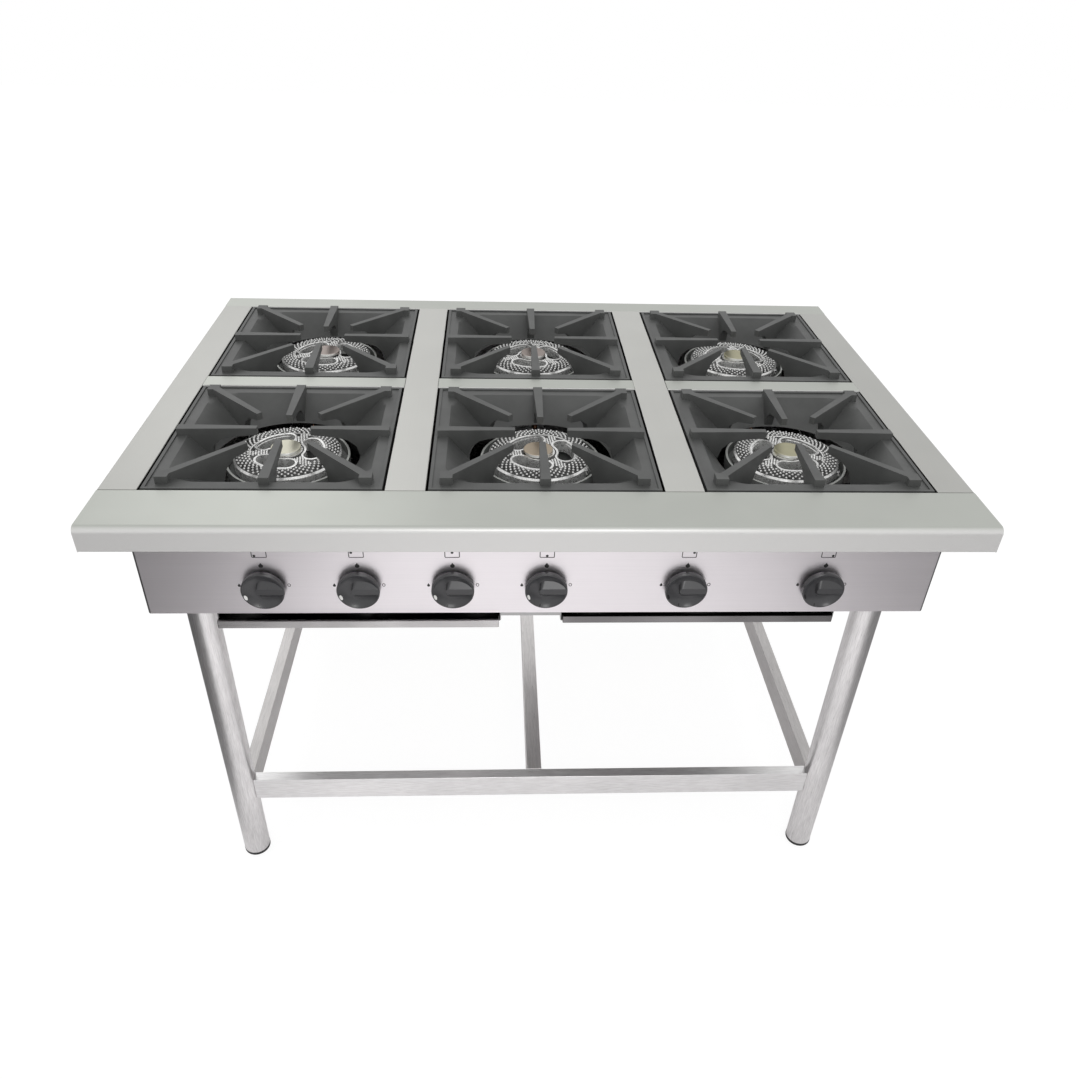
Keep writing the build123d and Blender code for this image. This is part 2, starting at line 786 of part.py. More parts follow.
with BuildPart() as grate_form:
    wall_z = ledge_z + grate_seat
    with BuildSketch(Plane.XY.offset(wall_z)):
        Rectangle(grate_w, grate_w)
        Rectangle(grate_w - 2 * grate_rim_t, grate_w - 2 * grate_rim_t, mode=Mode.SUBTRACT)
    extrude(amount=top_h - wall_z)
    with BuildSketch(Plane.XY.offset(border_z - border_t)):
        Rectangle(grate_w - grate_rim_t, grate_w - grate_rim_t)
        RectangleRounded(well_w, well_w, well_corner, mode=Mode.SUBTRACT)
    extrude(amount=border_t)
    split = math.degrees(math.atan2(well_w / 2 - well_corner, well_w / 2))
    with BuildSketch(Plane.XY.offset(border_z)):
        side = well_w + 2 * well_wall
        RectangleRounded(side, side, well_corner + well_wall)
    with BuildSketch(Plane.XY.offset(hole_z)):
        make_face(round_hole(well_hole_r + well_wall, split))
    loft()
    with BuildSketch(Plane.XY.offset(border_z)):
        RectangleRounded(well_w, well_w, well_corner)
    with BuildSketch(Plane.XY.offset(hole_z)):
        make_face(round_hole(well_hole_r, split))
    loft(mode=Mode.SUBTRACT)
    for quarter in range(4):
        with Locations(Location((0, 0, 0), (0, 0, 90 * quarter))):
            add(mid_fingers[quarter % 2])
        with Locations(Location((0, 0, 0), (0, 0, 90 * quarter + 45))):
            add(corner_finger)
    lug_xy = corner_end_r / math.sqrt(2)
    with Locations(*[
        (x, y, border_z - border_t / 2) for x in (-lug_xy, lug_xy) for y in (-lug_xy, lug_xy)
    ]):
        Box(
            lug_w, lug_w, finger_z - border_z + border_t / 2,
            align=(Align.CENTER, Align.CENTER, Align.MIN),
        )

for number, (x, y) in enumerate(grate_spots, start=1):
    with BuildPart() as grate:
        with Locations((x, y, 0)):
            add(grate_form.part)
    save(grate, f"grate_{number}")

# Gas taps on the manifold, behind the control panel
with BuildPart() as tap_bodies:
    for x, (_, burner_y) in zip(knob_x, tap_burners):
        with BuildSketch(Plane.XZ.offset(-tap_face)):
            with Locations((x, knob_z)):
                Circle(tap_r)
        extrude(amount=-tap_l)
        with BuildSketch(Plane.XY.offset(knob_z)):
            with Locations((x, manifold_y)):
                Circle(port_r)
        extrude(amount=-manifold_drop)
        if burner_y == burner_front_y:
            with BuildSketch(Plane.XY.offset(knob_z)):
                with Locations((x, tap_face + front_port_inset)):
                    Circle(port_r)
            extrude(amount=tap_r + port_h)
        else:
            with BuildSketch(Plane.XZ.offset(-tap_back)):
                with Locations((x, knob_z - rear_port_drop)):
                    Circle(port_r)
            extrude(amount=-port_h)
        with BuildSketch(Plane.XZ.offset(-tap_face)):
            with Locations((x, knob_z)):
                Circle(shaft_r + bore_fit)
        extrude(amount=-plug_inset, mode=Mode.SUBTRACT)
        with BuildSketch(Plane.XZ.offset(-(tap_face + plug_inset))):
            with Locations((x, knob_z)):
                Circle(plug_r + bore_fit)
        extrude(amount=-(plug_l + 2 * end_fit), mode=Mode.SUBTRACT)
    with BuildSketch(Plane.YZ.offset(-half_w)):
        with Locations((manifold_y, manifold_z)):
            Circle(manifold_r + weld_fit)
    extrude(amount=top_w, mode=Mode.SUBTRACT)
save(tap_bodies, "tap_bodies")

with BuildPart() as tap_springs:
    with BuildSketch(Plane.XZ.offset(-tap_face)):
        with Locations(*[(x, knob_z) for x in knob_x]):
            Circle(spring_r)
            Circle(spring_r - spring_wire, mode=Mode.SUBTRACT)
    extrude(amount=knob_gap + sheet - end_fit)
save(tap_springs, "tap_springs")

with BuildPart() as gas_manifold:
    with BuildLine() as manifold_line:
        FilletPolyline(
            (knob_x[0] - manifold_tail, manifold_y, manifold_z),
            (inlet_x, manifold_y, manifold_z),
            (inlet_x, back_y, manifold_z),
            radius=manifold_bend,
        )
    with BuildSketch(Plane(manifold_line.line @ 0, z_dir=manifold_line.line % 0)):
        Circle(manifold_r)
        Circle(manifold_r - manifold_wall, mode=Mode.SUBTRACT)
    sweep(path=manifold_line.line)
    with BuildSketch(Plane.XZ.offset(-back_y)):
        with Locations((inlet_x, manifold_z)):
            Circle(thread_r)
            Circle(manifold_r - manifold_wall, mode=Mode.SUBTRACT)
    extrude(amount=-thread_l)
    with BuildSketch(Plane(manifold_line.line @ 0, z_dir=manifold_line.line % 0)):
        Circle(manifold_r)
    extrude(amount=manifold_wall)
save(gas_manifold, "gas_manifold")

# Copper feed pipes: a front burner is fed from the top of its tap, a rear one from behind
feed_forms = []
for x, (burner_x, burner_y) in zip(knob_x, tap_burners):
    end_y = burner_y - tube_l - injector_l - end_fit
    if burner_y == burner_front_y:
        start = (x, tap_face + front_port_inset, knob_z + tap_r + port_h)
        route = [
            start,
            (x, start[1], tube_z),
            (burner_x, end_y - feed_bend, tube_z),
            (burner_x, end_y, tube_z),
        ]
        bends = [feed_bend, feed_bend]
    else:
        start = (x, tap_back + port_h, knob_z - rear_port_drop)
        turn_y = end_y - 3 * feed_bend
        route = [
            start,
            (x, burner_front_y - burner_rail_w, start[2]),
            (burner_x, burner_front_y + burner_rail_w, start[2]),
            (burner_x, turn_y, start[2]),
            (burner_x, turn_y, tube_z),
            (burner_x, end_y, tube_z),
        ]
        bends = [3 * feed_bend, 3 * feed_bend, feed_bend, feed_bend]
    with BuildPart() as feed_form:
        with BuildLine() as feed_line:
            FilletPolyline(*route, radius=bends)
        with BuildSketch(Plane(feed_line.line @ 0, z_dir=feed_line.line % 0)):
            Circle(feed_r)
            Circle(feed_r - feed_wall, mode=Mode.SUBTRACT)
        sweep(path=feed_line.line)
    feed_forms.append(feed_form.part)

with BuildPart() as feed_pipes:
    for form in feed_forms:
        add(form)
save(feed_pipes, "feed_pipes")

with BuildPart() as injectors:
    for x, y in burner_spots:
        seat_y = y - tube_l - injector_l
        with BuildSketch(Plane.XZ.offset(-seat_y)):
            with Locations((x, tube_z)):
                RegularPolygon(injector_flat_r, 6, major_radius=False)
        extrude(amount=-injector_l)
        with BuildSketch(Plane.XZ.offset(-(seat_y + injector_l))):
            with Locations((x, tube_z)):
                Circle(injector_nose_r)
        extrude(amount=-injector_nose)
save(injectors, "injectors")

# Spindles: a plug that turns in the tap, and a shaft with a flat for the knob
shaft_end = panel_y - knob_gap - knob_depth + 2.0 + knob_travel + 2 * end_fit
plug_front = tap_face + plug_inset + end_fit
for number, x in enumerate(knob_x, start=1):
    with BuildPart() as spindle:
        with BuildSketch(Plane.XZ.offset(-plug_front)):
            with Locations((x, knob_z)):
                Circle(plug_r)
        extrude(amount=-plug_l)
        with BuildSketch(Plane.XZ.offset(-plug_front)):
            with Locations((x, knob_z)):
                Circle(shaft_r)
        extrude(amount=plug_front - shaft_end)
        box_between(
            (x - 2 * shaft_r, shaft_end - 1, knob_z + shaft_flat),
            (x + 2 * shaft_r, panel_y - knob_gap + knob_travel, knob_z + 2 * shaft_r),
            mode=Mode.SUBTRACT,
        )
    save(spindle, f"tap_spindle_{number}")

# Knob: a round body with a dished front and a grip across it, flush with the rim
with BuildPart() as grip:
    front = panel_y - knob_gap - knob_depth
    length = grip_start + knob_r
    with BuildSketch(Plane.XZ.offset(-front)):
        with Locations((length / 2 - grip_start, 0)):
            RectangleRounded(length, grip_w, grip_round)
    with BuildSketch(Plane.XZ.offset(-(front + dish_depth))):
        with Locations((length / 2 - grip_start, 0)):
            RectangleRounded(length, grip_root_w, 2 * grip_round)
    loft()
    with Locations(Location((0, front, 0), (90, 0, 0))):
        Cylinder(knob_r - knob_rim / 2, 4 * knob_depth, mode=Mode.INTERSECT)

with BuildPart() as knob_form:
    back = panel_y - knob_gap
    with BuildSketch(Plane.XY):
        with BuildLine():
            Polyline(
                (0, back),
                (knob_neck_r, back),
                (knob_neck_r, back - knob_neck),
                (knob_r, back - knob_neck - 1),
                (knob_r, front + 1),
                (knob_r - 1, front),
                (knob_r - knob_rim, front),
            )
            ThreePointArc(
                (knob_r - knob_rim, front),
                (0.68 * knob_r, front + 0.72 * dish_depth),
                (dish_floor_r, front + dish_depth),
            )
            Polyline((dish_floor_r, front + dish_depth), (0, front + dish_depth), (0, back))
        make_face()
    revolve(axis=Axis.Y)
    add(grip.part)
    with BuildSketch(Plane.XZ.offset(-back)):
        Circle(shaft_r + bore_fit)
        with Locations((0, shaft_flat + bore_fit)):
            Rectangle(
                4 * shaft_r, 2 * shaft_r, align=(Align.CENTER, Align.MIN), mode=Mode.SUBTRACT
            )
    extrude(amount=knob_depth - 2.0, mode=Mode.SUBTRACT)

for number, x in enumerate(knob_x, start=1):
    with BuildPart() as knob:
        with Locations((x, 0, knob_z)):
            add(knob_form.part)
    save(knob, f"knob_{number}")
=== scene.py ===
import json
import math

import bmesh
import bpy
from mathutils import Matrix, Vector
from mathutils.bvhtree import BVHTree

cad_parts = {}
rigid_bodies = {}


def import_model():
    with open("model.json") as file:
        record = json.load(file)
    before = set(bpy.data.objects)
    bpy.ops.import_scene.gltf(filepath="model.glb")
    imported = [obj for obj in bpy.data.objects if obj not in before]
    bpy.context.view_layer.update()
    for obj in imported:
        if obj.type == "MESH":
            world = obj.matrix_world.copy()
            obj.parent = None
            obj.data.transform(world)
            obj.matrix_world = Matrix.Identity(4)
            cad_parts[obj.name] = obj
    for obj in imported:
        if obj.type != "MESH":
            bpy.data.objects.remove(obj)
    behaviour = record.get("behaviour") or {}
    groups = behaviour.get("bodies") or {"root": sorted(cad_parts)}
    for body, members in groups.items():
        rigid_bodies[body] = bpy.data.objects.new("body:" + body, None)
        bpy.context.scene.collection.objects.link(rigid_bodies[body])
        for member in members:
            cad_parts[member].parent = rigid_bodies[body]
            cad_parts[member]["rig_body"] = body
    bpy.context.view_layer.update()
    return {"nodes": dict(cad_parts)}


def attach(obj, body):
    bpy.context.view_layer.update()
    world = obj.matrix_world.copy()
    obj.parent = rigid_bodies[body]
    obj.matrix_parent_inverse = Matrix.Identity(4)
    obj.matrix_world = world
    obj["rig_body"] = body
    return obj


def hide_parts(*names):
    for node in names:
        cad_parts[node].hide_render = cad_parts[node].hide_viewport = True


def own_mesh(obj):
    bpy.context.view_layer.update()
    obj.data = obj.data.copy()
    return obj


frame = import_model()

# Stand. Four round legs of 1.5 inch stainless tube and five box-section rails,
# cut to length, coped and welded, then ground with a coarse belt along the tube.


def socket(shader, name, value):
    """Set one input of the shader to a plain value."""
    shader.inputs[name].default_value = value


def metal(name, colour, grain, roughness=0.34, spread=0.08, mottle=0.05, dent=0.04, shade_box=None,
          front=None, bend_shade=0.0):
    """Bare metal with a grain along X, Y and Z. Inside the box dulled it is painted near black as painted
    shade, its upright bends are painted darker by fold as painted shade, and its front faces get the
    colour front, less metallic, as painted light."""
    made = bpy.data.materials.new(name)
    made.use_nodes = True
    nodes, links = made.node_tree.nodes, made.node_tree.links
    shader = nodes["Principled BSDF"]
    socket(shader, "Metallic", 1.0)
    where = nodes.new("ShaderNodeTexCoord")
    stretch = nodes.new("ShaderNodeMapping")
    stretch.inputs["Scale"].default_value = grain
    lines = nodes.new("ShaderNodeTexNoise")
    lines.inputs["Scale"].default_value = 1.0
    lines.inputs["Detail"].default_value = 3.0
    lines.inputs["Roughness"].default_value = 0.6
    clouds = nodes.new("ShaderNodeTexNoise")
    clouds.inputs["Scale"].default_value = 9.0
    clouds.inputs["Detail"].default_value = 2.0
    links.new(where.outputs["Object"], stretch.inputs["Vector"])
    links.new(stretch.outputs["Vector"], lines.inputs["Vector"])
    links.new(where.outputs["Object"], clouds.inputs["Vector"])
    tone = nodes.new("ShaderNodeValToRGB")
    tone.color_ramp.elements[0].position = 0.25
    tone.color_ramp.elements[1].position = 0.75
    tone.color_ramp.elements[0].color = [c * (1 - spread) for c in colour] + [1]
    tone.color_ramp.elements[1].color = [min(1, c * (1 + spread)) for c in colour] + [1]
    patch = nodes.new("ShaderNodeValToRGB")
    patch.color_ramp.elements[0].position = 0.35
    patch.color_ramp.elements[1].position = 0.65
    patch.color_ramp.elements[0].color = [1 - mottle] * 3 + [1]
    patch.color_ramp.elements[1].color = [1, 1, 1, 1]
    both = nodes.new("ShaderNodeMix")
    both.data_type = "RGBA"
    both.blend_type = "MULTIPLY"
    both.inputs["Factor"].default_value = 1.0
    links.new(lines.outputs["Fac"], tone.inputs["Fac"])
    links.new(clouds.outputs["Fac"], patch.inputs["Fac"])
    links.new(tone.outputs["Color"], both.inputs["A"])
    links.new(patch.outputs["Color"], both.inputs["B"])
    shown = both.outputs["Result"]
    # Faces turned to the front get the colour front and less metal: painted light.
    if front:
        facing = nodes.new("ShaderNodeSeparateXYZ")
        links.new(where.outputs["Normal"], facing.inputs[0])
        front_light_mask = nodes.new("ShaderNodeMapRange")
        front_light_mask.inputs["From Min"].default_value = -0.35
        front_light_mask.inputs["From Max"].default_value = -0.95
        links.new(facing.outputs["Y"], front_light_mask.inputs["Value"])
        face = nodes.new("ShaderNodeMix")
        face.data_type = "RGBA"
        face.inputs["B"].default_value = list(front) + [1]
        links.new(front_light_mask.outputs["Result"], face.inputs["Factor"])
        links.new(shown, face.inputs["A"])
        shown = face.outputs["Result"]
        satin = nodes.new("ShaderNodeMapRange")
        satin.inputs["To Min"].default_value = 1.0
        satin.inputs["To Max"].default_value = 0.25
        links.new(front_light_mask.outputs["Result"], satin.inputs["Value"])
        links.new(satin.outputs["Result"], shader.inputs["Metallic"])
    # Upright bends, turned both sideways and to the front, are painted darker: painted shade.
    if bend_shade:
        facing = nodes.new("ShaderNodeSeparateXYZ")
        links.new(where.outputs["Normal"], facing.inputs[0])
        slant = nodes.new("ShaderNodeMath")
        slant.operation = "MULTIPLY"
        links.new(facing.outputs["X"], slant.inputs[0])
        links.new(facing.outputs["Y"], slant.inputs[1])
        size = nodes.new("ShaderNodeMath")
        size.operation = "ABSOLUTE"
        links.new(slant.outputs[0], size.inputs[0])
        line = nodes.new("ShaderNodeMapRange")
        line.inputs["From Min"].default_value = 0.05
        line.inputs["From Max"].default_value = 0.35
        line.inputs["To Max"].default_value = bend_shade
        links.new(size.outputs[0], line.inputs["Value"])
        shade = nodes.new("ShaderNodeMix")
        shade.data_type = "RGBA"
        shade.inputs["B"].default_value = (0.05, 0.05, 0.05, 1)
        links.new(line.outputs["Result"], shade.inputs["Factor"])
        links.new(shown, shade.inputs["A"])
        shown = shade.outputs["Result"]
    # Inside the box the colour is painted near black: painted shade.
    if shade_box:
        low, high = shade_box
        inside = nodes.new("ShaderNodeVectorMath")
        inside.operation = "SUBTRACT"
        inside.inputs[1].default_value = [(a + b) / 2 for a, b in zip(low, high)]
        span = nodes.new("ShaderNodeVectorMath")
        span.operation = "DIVIDE"
        span.inputs[1].default_value = [(b - a) / 2 for a, b in zip(low, high)]
        parts = nodes.new("ShaderNodeSeparateXYZ")
        links.new(where.outputs["Object"], inside.inputs[0])
        links.new(inside.outputs[0], span.inputs[0])
        links.new(span.outputs[0], parts.inputs[0])
        within = None
        for axis in "XYZ":
            near = nodes.new("ShaderNodeMath")
            near.operation = "COMPARE"
            near.inputs[1].default_value = 0.0
            near.inputs[2].default_value = 1.0
            links.new(parts.outputs[axis], near.inputs[0])
            if within:
                joint = nodes.new("ShaderNodeMath")
                joint.operation = "MULTIPLY"
                links.new(within.outputs[0], joint.inputs[0])
                links.new(near.outputs[0], joint.inputs[1])
                within = joint
            else:
                within = near
        shade_paint_mix = nodes.new("ShaderNodeMix")
        shade_paint_mix.data_type = "RGBA"
        shade_paint_mix.inputs["B"].default_value = (0.045, 0.045, 0.042, 1)
        links.new(within.outputs[0], shade_paint_mix.inputs["Factor"])
        links.new(shown, shade_paint_mix.inputs["A"])
        shown = shade_paint_mix.outputs["Result"]
    links.new(shown, shader.inputs["Base Color"])
    rough = nodes.new("ShaderNodeMapRange")
    rough.inputs["To Min"].default_value = roughness - 0.06
    rough.inputs["To Max"].default_value = roughness + 0.06
    links.new(lines.outputs["Fac"], rough.inputs["Value"])
    links.new(rough.outputs["Result"], shader.inputs["Roughness"])
    bump = nodes.new("ShaderNodeBump")
    bump.inputs["Strength"].default_value = dent
    bump.inputs["Distance"].default_value = 0.0004
    links.new(lines.outputs["Fac"], bump.inputs["Height"])
    links.new(bump.outputs["Normal"], shader.inputs["Normal"])
    return made


def merged(node):
    """A copy of a CAD node's mesh with its loose triangles joined and flat faces whole."""
    mesh = frame["nodes"][node].data.copy()
    if "custom_normal" in mesh.attributes:
        mesh.attributes.remove(mesh.attributes["custom_normal"])
    build = bmesh.new()
    build.from_mesh(mesh)
    bmesh.ops.remove_doubles(build, verts=build.verts, dist=2e-6)
    bmesh.ops.dissolve_limit(
        build, angle_limit=math.radians(0.4), verts=build.verts, edges=build.edges
    )
    build.to_mesh(mesh)
    build.free()
    return mesh


def rounded(mesh, name, edge, steps=2, sharp=32):
    """Round the sharp edges of a mesh and shade it smooth; returns the object."""
    made = bpy.data.objects.new(name, mesh)
    bpy.context.scene.collection.objects.link(made)
    if edge:
        bevel = made.modifiers.new("edge", "BEVEL")
        bevel.width = edge
        bevel.segments = steps
        bevel.limit_method = "ANGLE"
        bevel.angle_limit = math.radians(sharp)
        bevel.miter_outer = "MITER_ARC"
        graph = bpy.context.evaluated_depsgraph_get()
        plain = bpy.data.meshes.new_from_object(made.evaluated_get(graph))
        made.modifiers.clear()
        made.data = plain
    for face in made.data.polygons:
        face.use_smooth = True
    made.data.set_sharp_from_angle(angle=math.radians(sharp))
    weigh = made.modifiers.new("flat", "WEIGHTED_NORMAL")
    weigh.keep_sharp = True
    weigh.weight = 100
    graph = bpy.context.evaluated_depsgraph_get()
    shaded = bpy.data.meshes.new_from_object(made.evaluated_get(graph))
    made.modifiers.clear()
    made.data = shaded
    return made


def body_of(node):
    return frame["nodes"][node]["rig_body"]


def finish_node(node, material, edge=0.0005, steps=2, sharp=32):
    """Stand a rounded copy in for a CAD node, in the same place and on the same body."""
    made = rounded(merged(node), node + "_finished", edge, steps, sharp)
    made.data.materials.clear()
    made.data.materials.append(material)
    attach(made, body_of(node))
    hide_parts(node)
    return made


def dress_node(node, material):
    """Give a CAD node that is left as it is its own finish."""
    mesh = frame["nodes"][node].data
    mesh.materials.clear()
    mesh.materials.append(material)


leg_steel = metal("ground_leg_tube", (0.84, 0.825, 0.825), (700, 700, 40), 0.30, 0.20, 0.08, 0.10)
for leg in ("leg_front_left", "leg_front_right", "leg_rear_left", "leg_rear_right"):
    finish_node(leg, leg_steel, edge=0.0003)

# The rails are one ground steel painted in three tones, lightest across the front and rear, darker on the
# middle rail and darkest on the side rails, for how light falls on them: painted light and shade.
cross_steel = metal("ground_rail_x", (0.90, 0.885, 0.885), (40, 700, 700), 0.30, 0.16, 0.08, 0.08)
deep_steel = metal("ground_rail_y", (0.72, 0.70, 0.695), (700, 40, 700), 0.30, 0.16, 0.08, 0.08)
for rail in ("stretcher_front", "stretcher_rear"):
    finish_node(rail, cross_steel, edge=0.0012, steps=3)
side_rail_steel = metal("ground_rail_side", (0.52, 0.505, 0.50), (700, 40, 700), 0.30, 0.16, 0.08, 0.08)
finish_node("stretcher_middle", deep_steel, edge=0.0012, steps=3)
for rail in ("stretcher_left", "stretcher_right"):
    finish_node(rail, side_rail_steel, edge=0.0012, steps=3)


# Feet. Moulded plastic ends pushed into the tubes; only a dark rim and the sole show.
def plastic(name, colour, roughness=0.5, pebble=1600.0, depth=0.10):
    """Moulded plastic with a fine sparked texture."""
    lift = 0.12
    made = bpy.data.materials.new(name)
    made.use_nodes = True
    nodes, links = made.node_tree.nodes, made.node_tree.links
    shader = nodes["Principled BSDF"]
    where = nodes.new("ShaderNodeTexCoord")
    grit = nodes.new("ShaderNodeTexNoise")
    grit.inputs["Scale"].default_value = pebble
    grit.inputs["Detail"].default_value = 3.0
    links.new(where.outputs["Object"], grit.inputs["Vector"])
    tone = nodes.new("ShaderNodeValToRGB")
    tone.color_ramp.elements[0].position = 0.3
    tone.color_ramp.elements[1].position = 0.7
    tone.color_ramp.elements[0].color = [c * (1 - lift) for c in colour] + [1]
    tone.color_ramp.elements[1].color = [c * (1 + lift) for c in colour] + [1]
    links.new(grit.outputs["Fac"], tone.inputs["Fac"])
    links.new(tone.outputs["Color"], shader.inputs["Base Color"])
    rough = nodes.new("ShaderNodeMapRange")
    rough.inputs["To Min"].default_value = roughness - 0.07
    rough.inputs["To Max"].default_value = roughness + 0.07
    links.new(grit.outputs["Fac"], rough.inputs["Value"])
    links.new(rough.outputs["Result"], shader.inputs["Roughness"])
    bump = nodes.new("ShaderNodeBump")
    bump.inputs["Strength"].default_value = depth
    bump.inputs["Distance"].default_value = 0.0003
    links.new(grit.outputs["Fac"], bump.inputs["Height"])
    links.new(bump.outputs["Normal"], shader.inputs["Normal"])
    return made


finish_node("feet", plastic("foot_plastic", (0.018, 0.018, 0.019), 0.55), edge=0.0004)

# Body. Folded satin sheet: a control panel bent round the front corners, two side
# panels and a rear panel held by six screws.
# The control panel's upright bends are painted darker: painted shade.
panel_steel = metal("panel_sheet", (0.89, 0.855, 0.88), (6, 700, 700), 0.37, 0.02, 0.02, 0.008, bend_shade=0.8)
# The side panels are the control panel's sheet painted darker: painted shade.
side_steel = metal("side_sheet", (0.60, 0.59, 0.58), (700, 6, 700), 0.30, 0.05, 0.05, 0.03)
# The burner rails and leg sockets inside the body are painted at about a third of the sheet's tone:
# painted shade.
folded_steel = metal("folded_sheet", (0.28, 0.28, 0.27), (60, 60, 60), 0.5, 0.06, 0.10, 0.03)
finish_node("control_panel", panel_steel, edge=0.0003)
finish_node("rear_panel", panel_steel, edge=0.0003)
finish_node("side_panel_left", side_steel, edge=0.0003)
finish_node("side_panel_right", side_steel, edge=0.0003)
finish_node("burner_rails", folded_steel, edge=0.0003)
dress_node("leg_sockets", folded_steel)

# Print on the panel, by each knob: a large flame for full heat, a small one for low, a ring
# for off, and a plan of the six burners with a dot on the one that the knob serves.
knob_axes = (-0.421, -0.280, -0.139, 0.002, 0.2155, 0.428)
knob_axis_z = 0.710
marks = bmesh.new()


def printed(outline, hole=None, y=-0.39806):
    """Add a flat printed shape to the marks, in front of the panel; points are (x, z)."""
    outer = [marks.verts.new((x, y, z)) for x, z in outline]
    if hole is None:
        marks.faces.new(outer)
        return
    inner = [marks.verts.new((x, y, z)) for x, z in hole]
    for i in range(len(outer)):
        j = (i + 1) % len(outer)
        marks.faces.new((outer[i], outer[j], inner[j], inner[i]))


def disc(x, z, wide, tall, steps=20):
    turns = [2 * math.pi * k / steps for k in range(steps)]
    return [(x + wide / 2 * math.cos(t), z + tall / 2 * math.sin(t)) for t in turns]


def flame(x, z, wide, tall, steps=16):
    """A drop: a round bottom drawn up to a point."""
    belly = z - tall / 2 + wide / 2
    turns = [math.radians(-205 + 230 * k / steps) for k in range(steps + 1)]
    round_part = [(x + wide / 2 * math.cos(t), belly + wide / 2 * math.sin(t)) for t in turns]
    shoulder = z + 0.3 * tall
    tip = [(x + 0.12 * wide, shoulder), (x, z + tall / 2), (x - 0.12 * wide, shoulder)]
    return round_part + tip


def frame_line(x, z, wide, tall, corner, steps=4):
    line = []
    for cx, cz, start in ((1, 1, 0), (-1, 1, 90), (-1, -1, 180), (1, -1, 270)):
        for k in range(steps + 1):
            t = math.radians(start + 90 * k / steps)
            line.append((
                x + cx * (wide / 2 - corner) + corner * math.cos(t),
                z + cz * (tall / 2 - corner) + corner * math.sin(t),
            ))
    return line


dot_spots = ((-1, -1), (-1, 1), (0, 1), (0, -1), (1, 1), (1, -1))
for x, (column, row) in zip(knob_axes, dot_spots):
    printed(flame(x, 0.7495, 0.0070, 0.0096))
    printed(flame(x - 0.0369, 0.7128, 0.0045, 0.0068))
    printed(disc(x + 0.0369, 0.7126, 0.0050, 0.0062), disc(x + 0.0369, 0.7126, 0.0030, 0.0042))
    printed(frame_line(x, 0.7697, 0.0226, 0.0130, 0.0020), frame_line(x, 0.7697, 0.0201, 0.0105, 0.0010))
    printed(disc(x + 0.0072 * column, 0.7695 + 0.0029 * row, 0.0042, 0.0042))
mark_mesh = bpy.data.meshes.new("panel_marks")
marks.to_mesh(mark_mesh)
marks.free()
mark_mesh.materials.append(plastic("panel_ink", (0.015, 0.015, 0.015), 0.5, depth=0.02))
mark_object = bpy.data.objects.new("panel_marks", mark_mesh)
bpy.context.scene.collection.objects.link(mark_object)
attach(mark_object, "cooktop")

bright_steel = metal("bright_steel", (0.70, 0.70, 0.70), (300, 300, 300), 0.22, 0.04, 0.03, 0.02)
finish_node("rear_panel_screws", bright_steel, edge=0.0008, steps=3)

# Worktop. Seven strips of folded sheet, welded underneath, with the grates' openings
# between them. The grain runs along each strip.
# Inside the wells the strips are painted near black, as painted shade; the rails' front faces get a
# lighter, less metallic colour, as painted light.
well_shade_box = ((-0.596, -0.3517, 0.80), (0.596, 0.4017, 0.8478))
# The rails, the bars and the side rims are one steel in three tones, for how light falls on each: painted
# light and shade.
top_x = metal(
    "worktop_grain_x", (0.515, 0.53, 0.495), (5, 600, 600), 0.40, 0.02, 0.03, 0.015,
    shade_box=well_shade_box, front=(0.69, 0.685, 0.675),
)
top_y = metal("worktop_grain_y", (0.58, 0.58, 0.555), (600, 5, 600), 0.40, 0.02, 0.03, 0.015, well_shade_box)
for strip in ("worktop_front_rail", "worktop_rear_rail", "worktop_cross_strips"):
    finish_node(strip, top_x, edge=0.0003)
top_edge = metal("worktop_edge", (0.497, 0.497, 0.475), (600, 5, 600), 0.40, 0.02, 0.03, 0.015, well_shade_box)
for strip in ("worktop_bar_left", "worktop_bar_right"):
    finish_node(strip, top_y, edge=0.0003)
for strip in ("worktop_side_left", "worktop_side_right"):
    finish_node(strip, top_edge, edge=0.0003)

# Gas line. A steel manifold carries six brass taps; each tap has a spindle and feeds one
# injector through a copper pipe. A short spring sits behind each knob.
brass = metal("turned_brass", (0.72, 0.55, 0.27), (400, 400, 400), 0.26, 0.06, 0.10, 0.03)
copper = metal("drawn_copper", (0.70, 0.38, 0.25), (300, 300, 300), 0.30, 0.06, 0.15, 0.02)
pipe_steel = metal("pipe_steel", (0.30, 0.30, 0.31), (150, 150, 150), 0.48, 0.10, 0.15, 0.05)
finish_node("gas_manifold", pipe_steel, edge=0.0006)
finish_node("tap_bodies", brass, edge=0.0008)
finish_node("injectors", brass, edge=0.0004)
finish_node("feed_pipes", copper, edge=0.0002)
for number, x in enumerate(knob_axes, start=1):
    coil = merged("tap_springs")
    build = bmesh.new()
    build.from_mesh(coil)
    others = [f for f in build.faces if abs(f.calc_center_median().x - x) > 0.02]
    bmesh.ops.delete(build, geom=others, context="FACES")
    build.to_mesh(coil)
    build.free()
    spring = rounded(coil, f"tap_spring_{number}", 0.0002)
    spring.data.materials.clear()
    spring.data.materials.append(bright_steel)
    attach(spring, "cooktop")
    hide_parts("tap_springs")
    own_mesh(spring)
for number in range(1, 7):
    finish_node(f"tap_spindle_{number}", brass, edge=0.0003)


